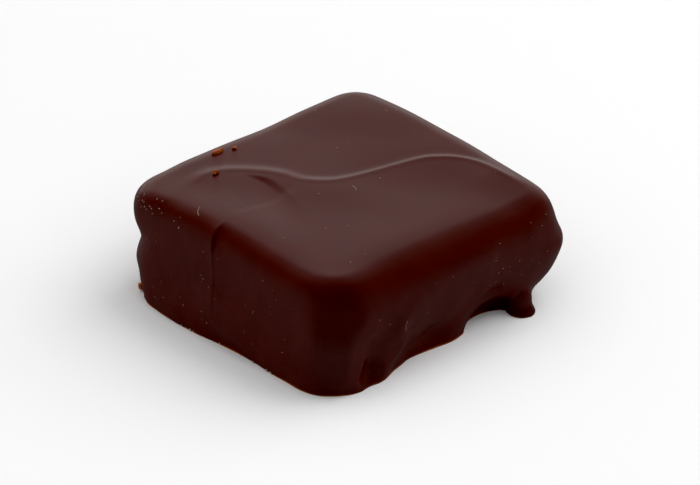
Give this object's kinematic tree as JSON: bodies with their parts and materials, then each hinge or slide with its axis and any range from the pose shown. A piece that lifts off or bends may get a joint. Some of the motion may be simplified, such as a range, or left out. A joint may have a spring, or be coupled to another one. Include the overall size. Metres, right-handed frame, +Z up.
{
  "type": "chocolate praline",
  "caption": "Square chocolate praline under a dark satin coat, with soft shoulders, a raised wave across its top, a lapped layer at one end and an uneven foot that lies flat on the table.",
  "frame": {"origin": "on the table, under the middle of the praline", "axes": "+Z up; the wall with the lap's edge faces -Y and the wall with the hollow and the drip faces +X"},
  "size_m": [0.0319, 0.0319, 0.0117],
  "materials": {
    "dark_chocolate": "satin dark chocolate"
  },
  "bodies": {
    "root": {"praline": "dark_chocolate"}
  },
  "joints": []
}
